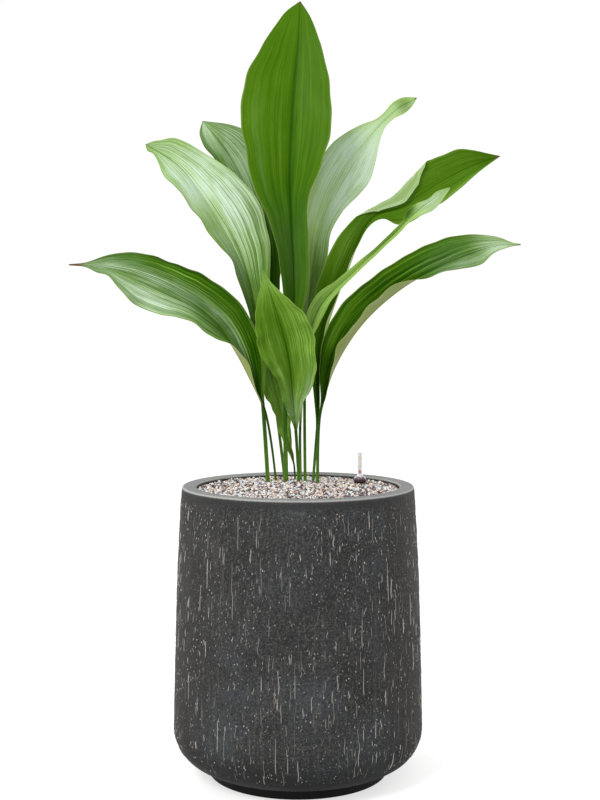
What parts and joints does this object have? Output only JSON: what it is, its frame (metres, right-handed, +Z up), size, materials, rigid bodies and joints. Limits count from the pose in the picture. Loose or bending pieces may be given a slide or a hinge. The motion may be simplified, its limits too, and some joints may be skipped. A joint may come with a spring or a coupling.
{
  "type": "potted cast iron plant",
  "caption": "Broad-leaved house plant with long arching blades on upright stalks, in a tall round planter filled with mineral granules, with a float water gauge.",
  "frame": {"origin": "middle of the planter's flat foot, on the surface it stands on", "axes": "+Z up along the planter's axis, -Y towards the front, from which the leaves are seen spread, +X to the right seen from the front"},
  "size_m": [0.5855, 0.341, 1.0561],
  "materials": {
    "planter": "matt cast composite with raised lighter drips",
    "granules": "rough mineral granules",
    "rootstock": "rough",
    "leaf": "waxy satin with fine parallel veins",
    "young_leaf": "waxy satin with fine parallel veins",
    "stalk": "satin, lightly grooved",
    "gauge_dark": "moulded satin",
    "gauge_clear": "clear moulded",
    "gauge_red": "moulded",
    "gauge_float": "foam and rod"
  },
  "bodies": {
    "root": {"pot": "planter", "granulate": "granules", "rhizome": "rootstock", "blade_left_lower": "leaf", "blade_left_upper": "leaf", "blade_left_back": "leaf", "blade_centre": "leaf", "blade_right_back": "leaf", "blade_right_mid": "leaf", "blade_right_narrow": "young_leaf", "blade_right_lower": "leaf", "blade_front_young": "young_leaf", "blade_back_small": "leaf", "stalk_left_lower": "stalk", "stalk_left_upper": "stalk", "stalk_left_back": "stalk", "stalk_centre": "stalk", "stalk_right_back": "stalk", "stalk_right_mid": "stalk", "stalk_right_narrow": "stalk", "stalk_right_lower": "stalk", "stalk_front_young": "stalk", "stalk_back_small": "stalk", "gauge_housing": "gauge_dark", "gauge_cap": "gauge_dark", "gauge_sight_tube": "gauge_clear"},
    "float": {"gauge_float": "gauge_float", "gauge_indicator": "gauge_red"}
  },
  "joints": [
    {"name": "float_rise", "type": "slide", "parent": "root", "child": "float", "axis": [0, 0, 1], "range_m": [0, 0.02]}
  ]
}
